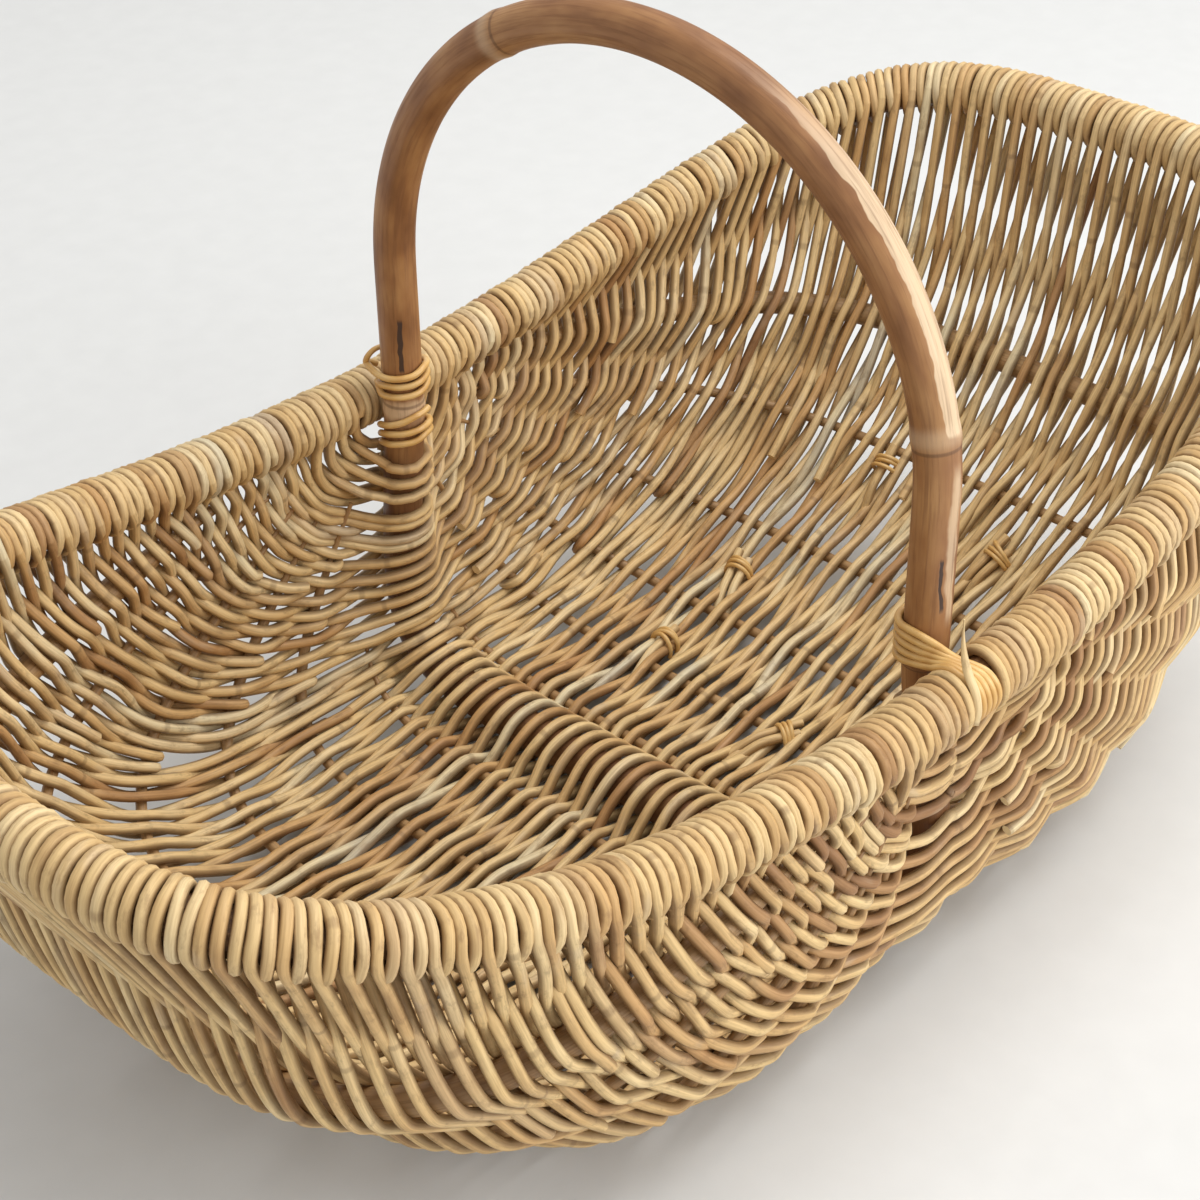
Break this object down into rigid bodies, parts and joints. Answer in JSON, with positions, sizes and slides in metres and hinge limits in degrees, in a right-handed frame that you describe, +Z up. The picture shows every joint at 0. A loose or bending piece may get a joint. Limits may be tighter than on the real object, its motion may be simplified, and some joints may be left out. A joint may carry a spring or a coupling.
{
  "type": "wicker market basket",
  "caption": "Large oblong rattan frame basket with a lifted, cane-wrapped rim, fanned ribs, open lengthwise weave and a fixed bow handle over its middle.",
  "frame": {"origin": "on the ground, below the middle of the basket", "axes": "+X along the basket's length, +Y across it from the near ear to the far ear, +Z up; the handle hoop stands in the YZ plane"},
  "size_m": [0.8986, 0.4598, 0.4917],
  "materials": {
    "pole": "bare rattan pole, satin, with lengthwise grain",
    "rib_cane": "bare rattan cane, satin",
    "golden_cane": "round rattan cane, semi-gloss skin",
    "honey_cane": "round rattan cane, semi-gloss skin",
    "rim_cane": "round rattan cane, wrapped tight, semi-gloss skin",
    "lashing_cane": "thin binding cane, semi-gloss skin"
  },
  "bodies": {
    "root": {"handle_hoop": "pole", "rim_core": "pole", "rim_wrap_right_near": "rim_cane", "rim_wrap_right_far": "rim_cane", "rim_wrap_left_near": "rim_cane", "rim_wrap_left_far": "rim_cane", "rib_left_1": "rib_cane", "rib_left_2": "rib_cane", "rib_left_3": "rib_cane", "rib_left_4": "rib_cane", "rib_left_5": "rib_cane", "rib_left_6": "rib_cane", "rib_right_1": "rib_cane", "rib_right_2": "rib_cane", "rib_right_3": "rib_cane", "rib_right_4": "rib_cane", "rib_right_5": "rib_cane", "rib_right_6": "rib_cane", "weave_band_01": "honey_cane", "weave_band_02": "golden_cane", "weave_band_03": "golden_cane", "weave_band_04": "honey_cane", "weave_band_05": "golden_cane", "weave_band_06": "golden_cane", "weave_band_07": "honey_cane", "weave_band_08": "golden_cane", "weave_band_09": "golden_cane", "weave_band_10": "honey_cane", "weave_band_11": "golden_cane", "weave_band_12": "golden_cane", "weave_band_13": "honey_cane", "weave_band_14": "golden_cane", "weave_band_15": "golden_cane", "weave_band_16": "honey_cane", "weave_band_17": "golden_cane", "weave_band_18": "golden_cane", "weave_band_19": "honey_cane", "weave_band_20": "golden_cane", "weave_band_21": "golden_cane", "weave_band_22": "honey_cane", "weave_band_23": "golden_cane", "weave_band_24": "golden_cane", "lashing_near_upper": "lashing_cane", "lashing_far_upper": "lashing_cane", "lashing_far_lower": "lashing_cane"}
  },
  "joints": []
}
